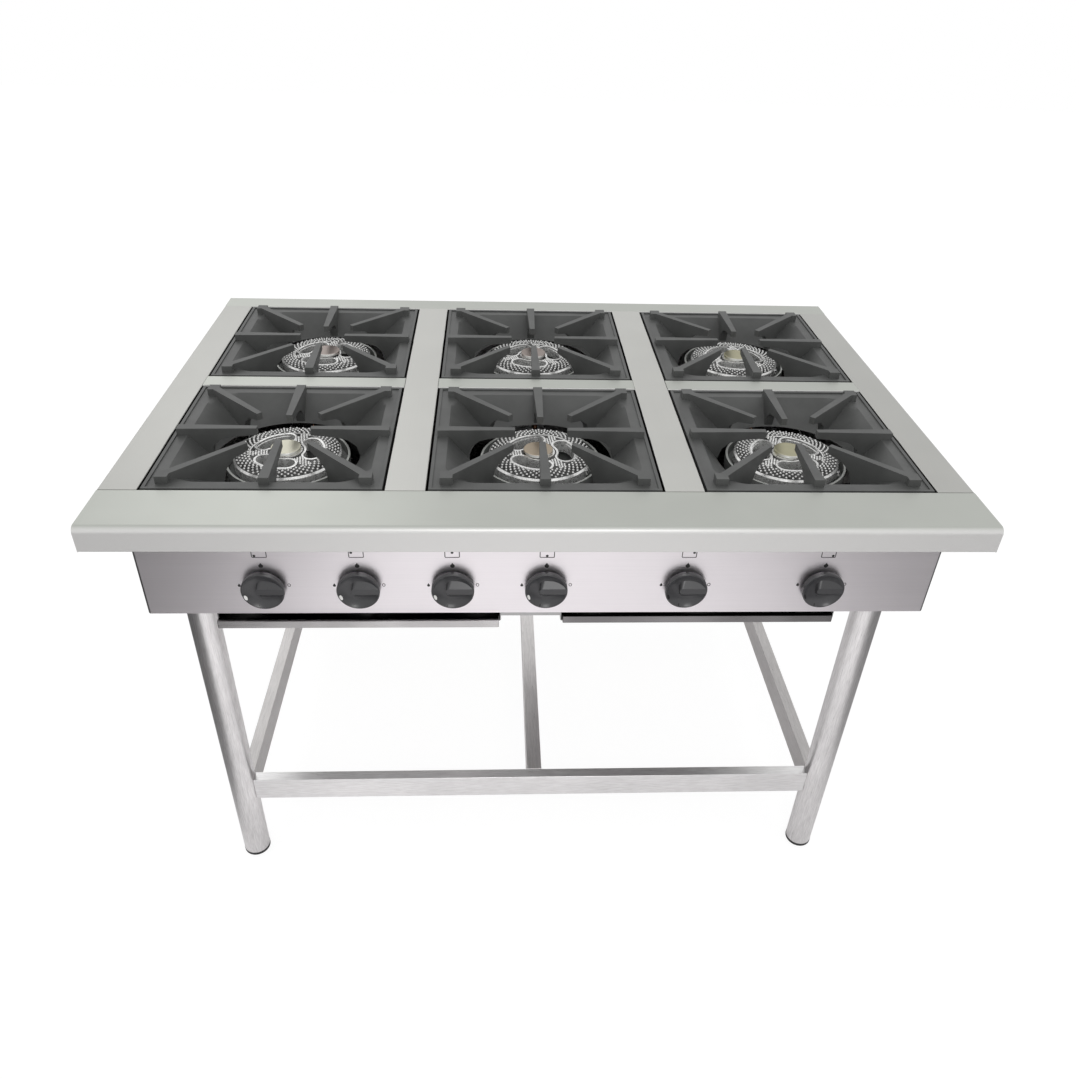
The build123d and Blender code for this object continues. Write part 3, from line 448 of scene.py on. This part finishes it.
# Burners. A cast pot with a mixing tube stands on the rails; its throat takes the head.
def casting(name, colour, roughness, grain=700.0, depth=0.25, bare_z=None):
    """Sand-cast metal with fine pits and a soft mottled tone, ground bare above the height bare_z."""
    made = bpy.data.materials.new(name)
    made.use_nodes = True
    nodes, links = made.node_tree.nodes, made.node_tree.links
    shader = nodes["Principled BSDF"]
    lift = 0.15
    where = nodes.new("ShaderNodeTexCoord")
    sand = nodes.new("ShaderNodeTexNoise")
    sand.inputs["Scale"].default_value = grain
    sand.inputs["Detail"].default_value = 5.0
    sand.inputs["Roughness"].default_value = 0.65
    broad = nodes.new("ShaderNodeTexNoise")
    broad.inputs["Scale"].default_value = 22.0
    broad.inputs["Detail"].default_value = 3.0
    links.new(where.outputs["Object"], sand.inputs["Vector"])
    links.new(where.outputs["Object"], broad.inputs["Vector"])
    tone = nodes.new("ShaderNodeValToRGB")
    tone.color_ramp.elements[0].position = 0.3
    tone.color_ramp.elements[1].position = 0.7
    tone.color_ramp.elements[0].color = [c * (1 - lift) for c in colour] + [1]
    tone.color_ramp.elements[1].color = [c * (1 + lift) for c in colour] + [1]
    links.new(broad.outputs["Fac"], tone.inputs["Fac"])
    links.new(tone.outputs["Color"], shader.inputs["Base Color"])
    if bare_z:
        split = nodes.new("ShaderNodeSeparateXYZ")
        above = nodes.new("ShaderNodeMath")
        above.operation = "GREATER_THAN"
        above.inputs[1].default_value = bare_z
        ground = nodes.new("ShaderNodeMix")
        ground.data_type = "RGBA"
        ground.inputs["B"].default_value = (0.50, 0.51, 0.49, 1)
        links.new(where.outputs["Object"], split.inputs[0])
        links.new(split.outputs["Z"], above.inputs[0])
        links.new(above.outputs[0], ground.inputs["Factor"])
        links.new(tone.outputs["Color"], ground.inputs["A"])
        links.new(ground.outputs["Result"], shader.inputs["Base Color"])
        links.new(above.outputs[0], shader.inputs["Metallic"])
    rough = nodes.new("ShaderNodeMapRange")
    rough.inputs["To Min"].default_value = roughness - 0.08
    rough.inputs["To Max"].default_value = roughness + 0.08
    links.new(sand.outputs["Fac"], rough.inputs["Value"])
    links.new(rough.outputs["Result"], shader.inputs["Roughness"])
    bump = nodes.new("ShaderNodeBump")
    bump.inputs["Strength"].default_value = depth
    bump.inputs["Distance"].default_value = 0.0005
    links.new(sand.outputs["Fac"], bump.inputs["Height"])
    links.new(bump.outputs["Normal"], shader.inputs["Normal"])
    return made


pot_iron = casting("pot_casting", (0.16, 0.165, 0.16), 0.5, bare_z=0.8043)
finish_node("burner_bodies", pot_iron, edge=0.0006)
finish_node("flame_probes", bright_steel, edge=0.0006)

# Burner heads. A nickel-plated casting: a studded ring round a plate with three windows,
# and a plain pale cap in the middle. The studs are cast on, in rings, and on the webs.
columns = (-0.416, 0.0, 0.416)
rows = (-0.169, 0.235)
spots = [(x, y) for x in columns for y in rows]


def nickel(name, seat):
    """Nickel plate on a rough casting, painted near black on level ground below the height seat, as
    painted shade.
    """
    made = bpy.data.materials.new(name)
    made.use_nodes = True
    nodes, links = made.node_tree.nodes, made.node_tree.links
    shader = nodes["Principled BSDF"]
    socket(shader, "Metallic", 0.7)
    where = nodes.new("ShaderNodeTexCoord")
    cast = nodes.new("ShaderNodeTexNoise")
    cast.inputs["Scale"].default_value = 160.0
    cast.inputs["Detail"].default_value = 4.0
    links.new(where.outputs["Object"], cast.inputs["Vector"])
    tone = nodes.new("ShaderNodeValToRGB")
    tone.color_ramp.elements[0].position = 0.3
    tone.color_ramp.elements[1].position = 0.7
    tone.color_ramp.elements[0].color = (0.66, 0.66, 0.65, 1)
    tone.color_ramp.elements[1].color = (0.92, 0.92, 0.91, 1)
    links.new(cast.outputs["Fac"], tone.inputs["Fac"])
    links.new(tone.outputs["Color"], shader.inputs["Base Color"])
    # Level faces below the height seat are painted near black: painted shade in the head's recesses.
    if seat:
        facing = nodes.new("ShaderNodeSeparateXYZ")
        links.new(where.outputs["Normal"], facing.inputs[0])
        upward = nodes.new("ShaderNodeMapRange")
        upward.inputs["From Min"].default_value = 0.93
        upward.inputs["From Max"].default_value = 0.975
        links.new(facing.outputs["Z"], upward.inputs["Value"])
        height = nodes.new("ShaderNodeSeparateXYZ")
        links.new(where.outputs["Object"], height.inputs[0])
        low = nodes.new("ShaderNodeMath")
        low.operation = "LESS_THAN"
        low.inputs[1].default_value = seat
        links.new(height.outputs["Z"], low.inputs[0])
        level = nodes.new("ShaderNodeMath")
        level.operation = "MULTIPLY"
        links.new(upward.outputs["Result"], level.inputs[0])
        links.new(low.outputs[0], level.inputs[1])
        recess_shade = nodes.new("ShaderNodeMix")
        recess_shade.data_type = "RGBA"
        recess_shade.inputs["B"].default_value = (0.05, 0.05, 0.049, 1)
        links.new(level.outputs[0], recess_shade.inputs["Factor"])
        links.new(tone.outputs["Color"], recess_shade.inputs["A"])
        links.new(recess_shade.outputs["Result"], shader.inputs["Base Color"])
    rough = nodes.new("ShaderNodeMapRange")
    rough.inputs["To Min"].default_value = 0.20
    rough.inputs["To Max"].default_value = 0.36
    links.new(cast.outputs["Fac"], rough.inputs["Value"])
    links.new(rough.outputs["Result"], shader.inputs["Roughness"])
    bump = nodes.new("ShaderNodeBump")
    bump.inputs["Strength"].default_value = 0.35
    bump.inputs["Distance"].default_value = 0.0012
    links.new(cast.outputs["Fac"], bump.inputs["Height"])
    links.new(bump.outputs["Normal"], shader.inputs["Normal"])
    return made


plate = nickel("nickel_plate", None)
plate_with_painted_shade = nickel("nickel_painted_shade", 0.8161)
cap_tones = {
    "cream": (0.60, 0.585, 0.48),
    "tan": (0.42, 0.35, 0.265),
    "olive": (0.42, 0.40, 0.27),
    "rosy": (0.37, 0.315, 0.29),
}
# Each cap's front faces get a near white colour and less metal: painted light.
cap_metals = {
    tone: metal(
        f"cap_{tone}", colour, (120, 120, 120), 0.36, 0.05, 0.14, 0.03, front=(0.93, 0.93, 0.90)
    )
    for tone, colour in cap_tones.items()
}


def stud_tree():
    """Geometry Nodes: rings of small domes that follow the ring's crown, and rows of them on the webs."""
    tree = bpy.data.node_groups.new("burner_studs", "GeometryNodeTree")
    face = tree.interface
    face.new_socket("Geometry", in_out="INPUT", socket_type="NodeSocketGeometry")
    face.new_socket("Geometry", in_out="OUTPUT", socket_type="NodeSocketGeometry")
    for label, kind, value in (
        ("Rings", "NodeSocketInt", 5),
        ("Studs in a ring", "NodeSocketInt", 48),
        ("First ring", "NodeSocketFloat", 0.0632),
        ("Ring spacing", "NodeSocketFloat", 0.0046),
        ("Stud radius", "NodeSocketFloat", 0.00212),
        ("Height", "NodeSocketFloat", 0.8165),
        ("First web", "NodeSocketFloat", 80.0),
    ):
        item = face.new_socket(label, in_out="INPUT", socket_type=kind)
        item.default_value = value
    face.new_socket("Finish", in_out="INPUT", socket_type="NodeSocketMaterial")
    nodes, links = tree.nodes, tree.links
    given = nodes.new("NodeGroupInput").outputs
    out = nodes.new("NodeGroupOutput")

    def sum_of(kind, a, b=None):
        step = nodes.new("ShaderNodeMath")
        step.operation = kind
        for place, value in enumerate((a, b)):
            if value is None:
                continue
            if isinstance(value, (int, float)):
                step.inputs[place].default_value = value
            else:
                links.new(value, step.inputs[place])
        return step.outputs[0]

    index = nodes.new("GeometryNodeInputIndex").outputs[0]
    count = sum_of("MULTIPLY", given["Rings"], given["Studs in a ring"])
    row = sum_of("FLOOR", sum_of("DIVIDE", sum_of("ADD", index, 0.5), given["Studs in a ring"]))
    turn = sum_of("DIVIDE", index, given["Studs in a ring"])
    turn = sum_of("ADD", turn, sum_of("DIVIDE", sum_of("MULTIPLY", row, 0.5), given["Studs in a ring"]))
    angle = sum_of("MULTIPLY", turn, 2 * math.pi)
    radius = sum_of("ADD", given["First ring"], sum_of("MULTIPLY", row, given["Ring spacing"]))
    crown_r, crown_slope = 0.069, 0.2
    past = sum_of("MAXIMUM", sum_of("SUBTRACT", radius, crown_r), 0.0)
    drop = sum_of("MULTIPLY", past, crown_slope)
    height = sum_of("SUBTRACT", given["Height"], drop)
    place = nodes.new("ShaderNodeCombineXYZ")
    links.new(sum_of("MULTIPLY", radius, sum_of("COSINE", angle)), place.inputs[0])
    links.new(sum_of("MULTIPLY", radius, sum_of("SINE", angle)), place.inputs[1])
    links.new(height, place.inputs[2])
    points = nodes.new("GeometryNodePoints")
    links.new(count, points.inputs["Count"])
    links.new(place.outputs[0], points.inputs["Position"])

    per_web, rows_across = 21, 3
    web_start, web_pitch, row_pitch, stagger = 0.0330, 0.0044, 0.0052, 0.0026
    web_dots = nodes.new("GeometryNodePoints")
    web_dots.inputs["Count"].default_value = 3 * per_web
    web = sum_of("FLOOR", sum_of("DIVIDE", sum_of("ADD", index, 0.5), per_web))
    inside = sum_of("SUBTRACT", index, sum_of("MULTIPLY", web, per_web))
    along = sum_of("FLOOR", sum_of("DIVIDE", sum_of("ADD", inside, 0.5), rows_across))
    across = sum_of("SUBTRACT", inside, sum_of("MULTIPLY", along, rows_across))
    reach = sum_of("ADD", sum_of("MULTIPLY", along, web_pitch), web_start)
    odd = sum_of("MULTIPLY", sum_of("MODULO", along, 2.0), stagger)
    offset = sum_of("ADD", sum_of("MULTIPLY", sum_of("SUBTRACT", across, 1.25), row_pitch), odd)
    lean = sum_of("ADD", sum_of("MULTIPLY", web, 120.0), given["First web"])
    lean = sum_of("MULTIPLY", lean, math.pi / 180)
    cos, sin = sum_of("COSINE", lean), sum_of("SINE", lean)
    spot = nodes.new("ShaderNodeCombineXYZ")
    links.new(
        sum_of("SUBTRACT", sum_of("MULTIPLY", reach, cos), sum_of("MULTIPLY", offset, sin)),
        spot.inputs[0],
    )
    links.new(
        sum_of("ADD", sum_of("MULTIPLY", reach, sin), sum_of("MULTIPLY", offset, cos)),
        spot.inputs[1],
    )
    spot.inputs[2].default_value = 0.8153
    links.new(spot.outputs[0], web_dots.inputs["Position"])

    every = nodes.new("GeometryNodeJoinGeometry")
    links.new(points.outputs[0], every.inputs[0])
    links.new(web_dots.outputs[0], every.inputs[0])
    dome = nodes.new("GeometryNodeMeshUVSphere")
    dome.inputs["Segments"].default_value = 9
    dome.inputs["Rings"].default_value = 6
    links.new(given["Stud radius"], dome.inputs["Radius"])
    copies = nodes.new("GeometryNodeInstanceOnPoints")
    links.new(every.outputs[0], copies.inputs["Points"])
    links.new(dome.outputs[0], copies.inputs["Instance"])
    real = nodes.new("GeometryNodeRealizeInstances")
    links.new(copies.outputs[0], real.inputs[0])
    finish = nodes.new("GeometryNodeSetMaterial")
    links.new(real.outputs[0], finish.inputs["Geometry"])
    links.new(given["Finish"], finish.inputs["Material"])
    links.new(finish.outputs[0], out.inputs[0])
    return tree


def set_input(modifier, label, value):
    item = next(
        s for s in modifier.node_group.interface.items_tree
        if s.item_type == "SOCKET" and s.in_out == "INPUT" and s.name == label
    )
    modifier[item.identifier] = value


def grown(name, tree, **inputs):
    """The plain mesh that a Geometry Nodes tree makes from nothing."""
    holder = bpy.data.objects.new(name, bpy.data.meshes.new(name))
    bpy.context.scene.collection.objects.link(holder)
    modifier = holder.modifiers.new("made", "NODES")
    modifier.node_group = tree
    for label, value in inputs.items():
        set_input(modifier, label, value)
    graph = bpy.context.evaluated_depsgraph_get()
    mesh = bpy.data.meshes.new_from_object(holder.evaluated_get(graph))
    bpy.data.objects.remove(holder)
    for face in mesh.polygons:
        face.use_smooth = True
    return mesh


def put(mesh, name, body):
    """Place a finished mesh in the scene, on a body."""
    made = bpy.data.objects.new(name, mesh)
    bpy.context.scene.collection.objects.link(made)
    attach(made, body)
    return made


def island_split(mesh, test):
    """Two meshes: the faces that pass the test, and the rest."""
    parts = []
    for keep in (True, False):
        copy = mesh.copy()
        build = bmesh.new()
        build.from_mesh(copy)
        drop = [f for f in build.faces if test(f.calc_center_median()) != keep]
        bmesh.ops.delete(build, geom=drop, context="FACES")
        build.to_mesh(copy)
        build.free()
        parts.append(copy)
    return parts


studding = stud_tree()
cap_floor = 0.81652
head_turns = (-10.0, 0.0, -14.0, 0.0, 22.0, 0.0)
cap_wear = ("cream", "rosy", "tan", "rosy", "olive", "olive")
for number, ((x, y), turn, wear) in enumerate(zip(spots, head_turns, cap_wear), start=1):
    node = f"burner_head_{number}"
    cap_mesh, head_mesh = island_split(merged(node), lambda c: c.z > cap_floor)
    head = rounded(head_mesh, node + "_casting", 0.0006, 3)
    head.data.materials.clear()
    head.data.materials.append(plate_with_painted_shade)
    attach(head, node)
    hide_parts(node)
    cap = rounded(cap_mesh, f"burner_cap_{number}", 0.0014, 4)
    cap.data.materials.clear()
    cap.data.materials.append(cap_metals[wear])
    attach(cap, node)
    studs = grown(f"burner_studs_{number}", studding, **{"Finish": plate, "First web": 80.0 + turn})
    studs.transform(Matrix.Translation((x, y, 0)))
    put(studs, f"burner_studs_{number}", node)

# Grates. Grey cast iron under a thin matt enamel, drawn evenly; the light polish along the fingers is
# left out.
grate_iron = casting("grate_enamel", (0.073, 0.075, 0.073), 0.46, grain=900.0, depth=0.14)
for number in range(1, 7):
    finish_node(f"grate_{number}", grate_iron, edge=0.0011, steps=3, sharp=34)

# Knobs. Dark grey moulded plastic with a dished face and a grip across it. A small oval
# is laid on the rim, white on the first four knobs and dark on the last two.
knob_plastic = plastic("knob_plastic", (0.048, 0.048, 0.051), 0.30, pebble=1200.0, depth=0.04)
oval_white = plastic("oval_white", (0.80, 0.80, 0.78), 0.35, depth=0.02)
oval_dark = plastic("oval_dark", (0.012, 0.012, 0.012), 0.25, depth=0.02)


def laid_on(points, surface):
    """A thin sheet over a fan of points (x, z), dropped from the front onto a surface."""
    mesh = bpy.data.meshes.new("laid")
    build = bmesh.new()
    middle = [sum(c) / len(points) for c in zip(*points)]
    loops = []
    for share in (1.0, 0.66, 0.33):
        loops.append([[m + (c - m) * share for c, m in zip(p, middle)] for p in points])
    loops.append([middle])
    rings = []
    for loop in loops:
        ring = []
        for x, z in loop:
            hit = surface.ray_cast(Vector((x, -0.6, z)), Vector((0, 1, 0)))[0]
            ring.append(build.verts.new((x, hit.y - 0.00012, z)))
        rings.append(ring)
    count = len(points)
    for outer, inner in zip(rings, rings[1:]):
        for i in range(count):
            j = (i + 1) % count
            if len(inner) == 1:
                build.faces.new((outer[i], outer[j], inner[0]))
            else:
                build.faces.new((outer[i], outer[j], inner[j], inner[i]))
    build.to_mesh(mesh)
    build.free()
    return mesh


def turned(points, centre, radius, angle):
    """Points around a spot on a knob's face, at a radius and an angle from its axis."""
    lean = math.radians(angle)
    return [
        (
            centre[0] + radius * math.cos(lean) + u * math.cos(lean) - v * math.sin(lean),
            centre[1] + radius * math.sin(lean) + u * math.sin(lean) + v * math.cos(lean),
        )
        for u, v in points
    ]


oval = [(0.0017 * math.cos(t), 0.0046 * math.sin(t)) for t in (math.pi * k / 10 for k in range(20))]
# A small dark sheet laid near the bottom of the rim, where a notch's shade falls: painted shade.
notch_shade = [
    (0.0022, -0.0008), (0.0022, 0.0008), (0.0, 0.0011),
    (-0.0022, 0.0009), (-0.0022, -0.0009), (0.0, -0.0011),
]
for number, x in enumerate(knob_axes, start=1):
    knob = finish_node(f"knob_{number}", knob_plastic, edge=0.0009, steps=3, sharp=30)
    face = BVHTree.FromPolygons(
        [v.co for v in knob.data.vertices], [p.vertices for p in knob.data.polygons]
    )
    for label, shape, radius, angle, ink in (
        ("oval", oval, 0.0286, 203.0, oval_white if number < 5 else oval_dark),
        ("notch_shade", notch_shade, 0.0288, 252.0, oval_dark),
    ):
        sheet = laid_on(turned(shape, (x, knob_axis_z), radius, angle), face)
        sheet.materials.append(ink)
        put(sheet, f"knob_{label}_{number}", f"knob_{number}")

# Drip trays and their runners. Plain folded sheet, painted near black inside as painted shade;
# the right tray's sheet is painted at half the left's tone, as painted shade under the panel.
# Each outer runner has a wide flange that ends at the edge of the side panel's own and shuts the body
# there.
tray_shade_box = ((-0.60, -0.396, 0.6381), (0.60, 0.45, 0.70))
tray_grain = (8, 400, 400)
tray_steel = metal(
    "tray_sheet", (0.60, 0.59, 0.59), tray_grain, 0.26, 0.06, 0.30, 0.03, shade_box=tray_shade_box
)
# The right tray's copy at half the tone: painted shade under the panel.
shaded_steel = metal(
    "tray_sheet_shaded", (0.30, 0.29, 0.295), tray_grain, 0.26, 0.06, 0.30, 0.03, shade_box=tray_shade_box
)
runner_steel = metal("runner_sheet", (0.45, 0.45, 0.45), (400, 8, 400), 0.34, 0.06, 0.08, 0.03)
finish_node("tray_runner_middle", runner_steel, edge=0.0003)
wall_flange_x, lap = 0.578, 0.002
flange_y, flange_l = 0.037, 0.666
for node, side in (("tray_runner_left", -1), ("tray_runner_right", 1)):
    runner = finish_node(node, runner_steel, edge=0.0003)
    brim = max(side * v.co.x for v in runner.data.vertices)
    shelf = max(v.co.z for v in runner.data.vertices)
    build = bmesh.new()
    build.from_mesh(runner.data)
    inner_x = brim - lap
    corners = bmesh.ops.create_cube(build, size=1.0)["verts"]
    for vertex in corners:
        vertex.co = (
            side * ((inner_x + wall_flange_x) / 2 + (wall_flange_x - inner_x) * vertex.co.x),
            flange_y + flange_l * vertex.co.y,
            shelf - 0.0006 + 0.0010 * vertex.co.z,
        )
    bmesh.ops.recalc_face_normals(build, faces=list({f for v in corners for f in v.link_faces}))
    build.to_mesh(runner.data)
    build.free()
finish_node("drip_tray_left", tray_steel, edge=0.0004)
finish_node("drip_tray_right", shaded_steel, edge=0.0004)

# Studio. A pale floor, an even white room and two soft lamps. To all rays but the camera's
# the floor is light in the middle and dark at the sides, which gives the panel its tones.
floor_mesh = bpy.data.meshes.new("floor")
floor_mesh.from_pydata(
    [(-9, -9, -0.0005), (9, -9, -0.0005), (9, 9, -0.0005), (-9, 9, -0.0005)], [], [(0, 1, 2, 3)]
)
floor = bpy.data.objects.new("floor", floor_mesh)
bpy.context.scene.collection.objects.link(floor)
floor_paint = bpy.data.materials.new("floor_paint")
floor_paint.use_nodes = True
nodes, links = floor_paint.node_tree.nodes, floor_paint.node_tree.links
near = nodes["Principled BSDF"]
socket(near, "Base Color", (0.86, 0.86, 0.86, 1))
socket(near, "Roughness", 0.9)
glow = nodes.new("ShaderNodeEmission")
glow.inputs["Color"].default_value = (1, 1, 1, 1)
glow.inputs["Strength"].default_value = 1.10
seen = nodes.new("ShaderNodeMixShader")
seen.inputs["Fac"].default_value = 0.80
links.new(near.outputs[0], seen.inputs[1])
links.new(glow.outputs[0], seen.inputs[2])
spot = nodes.new("ShaderNodeTexCoord")
along = nodes.new("ShaderNodeSeparateXYZ")
links.new(spot.outputs["Object"], along.inputs[0])
half_span = 1.6
share = nodes.new("ShaderNodeMapRange")
share.inputs["From Min"].default_value = -half_span
share.inputs["From Max"].default_value = half_span
links.new(along.outputs["X"], share.inputs["Value"])
fade = nodes.new("ShaderNodeValToRGB")
fade.color_ramp.interpolation = "EASE"
stops = (
    (-1.45, 0.10), (-1.0, 0.185), (-0.80, 0.29), (-0.58, 0.80), (-0.36, 0.99),
    (0.25, 0.93), (0.68, 0.76), (0.96, 0.36), (1.3, 0.24),
)
while len(fade.color_ramp.elements) < len(stops):
    fade.color_ramp.elements.new(0.5)
for element, (x, grey) in zip(fade.color_ramp.elements, stops):
    element.position = (x + half_span) / (2 * half_span)
    element.color = (grey, grey * 0.985, grey * 0.99, 1)
links.new(share.outputs["Result"], fade.inputs["Fac"])
mirrored = nodes.new("ShaderNodeBsdfDiffuse")
links.new(fade.outputs["Color"], mirrored.inputs["Color"])
rays = nodes.new("ShaderNodeLightPath")
blend = nodes.new("ShaderNodeMixShader")
links.new(rays.outputs["Is Camera Ray"], blend.inputs["Fac"])
links.new(mirrored.outputs[0], blend.inputs[1])
links.new(seen.outputs[0], blend.inputs[2])
links.new(blend.outputs[0], nodes["Material Output"].inputs["Surface"])
floor_mesh.materials.append(floor_paint)

room = bpy.data.worlds.new("room")
room.use_nodes = True
bpy.context.scene.world = room
nodes, links = room.node_tree.nodes, room.node_tree.links
fill = nodes["Background"]
fill.inputs["Color"].default_value = (0.90, 0.90, 0.90, 1)
fill.inputs["Strength"].default_value = 1.0
white = nodes.new("ShaderNodeBackground")
white.inputs["Color"].default_value = (1, 1, 1, 1)
rays = nodes.new("ShaderNodeLightPath")
blend = nodes.new("ShaderNodeMixShader")
links.new(rays.outputs["Is Camera Ray"], blend.inputs["Fac"])
links.new(fill.outputs[0], blend.inputs[1])
links.new(white.outputs[0], blend.inputs[2])
links.new(blend.outputs[0], nodes["World Output"].inputs["Surface"])


def lamp(name, place, aim, size, power):
    light = bpy.data.lights.new(name, "AREA")
    light.shape = "SQUARE"
    light.size = size
    light.energy = power
    made = bpy.data.objects.new(name, light)
    bpy.context.scene.collection.objects.link(made)
    made.location = place
    made.rotation_euler = (Vector(aim) - Vector(place)).to_track_quat("-Z", "Y").to_euler()
    return made


lamp("front_lamp", (0.15, -2.1, 2.2), (-0.1, -1.37, 0.0), 0.8, 12)
lamp("left_lamp", (-1.30, 2.5, 2.7), (-0.35, -0.45, 0.85), 1.3, 3.6)

eye = bpy.data.cameras.new("eye")
eye.lens = 29.84
eye.sensor_width = 36.0
camera = bpy.data.objects.new("camera", eye)
bpy.context.scene.collection.objects.link(camera)
camera.location = (-0.0762, -1.4775, 1.5411)
camera.rotation_euler = [math.radians(a) for a in (55.4266, -1.6759, -2.3317)]
bpy.context.scene.camera = camera
bpy.context.scene.view_settings.view_transform = "Standard"
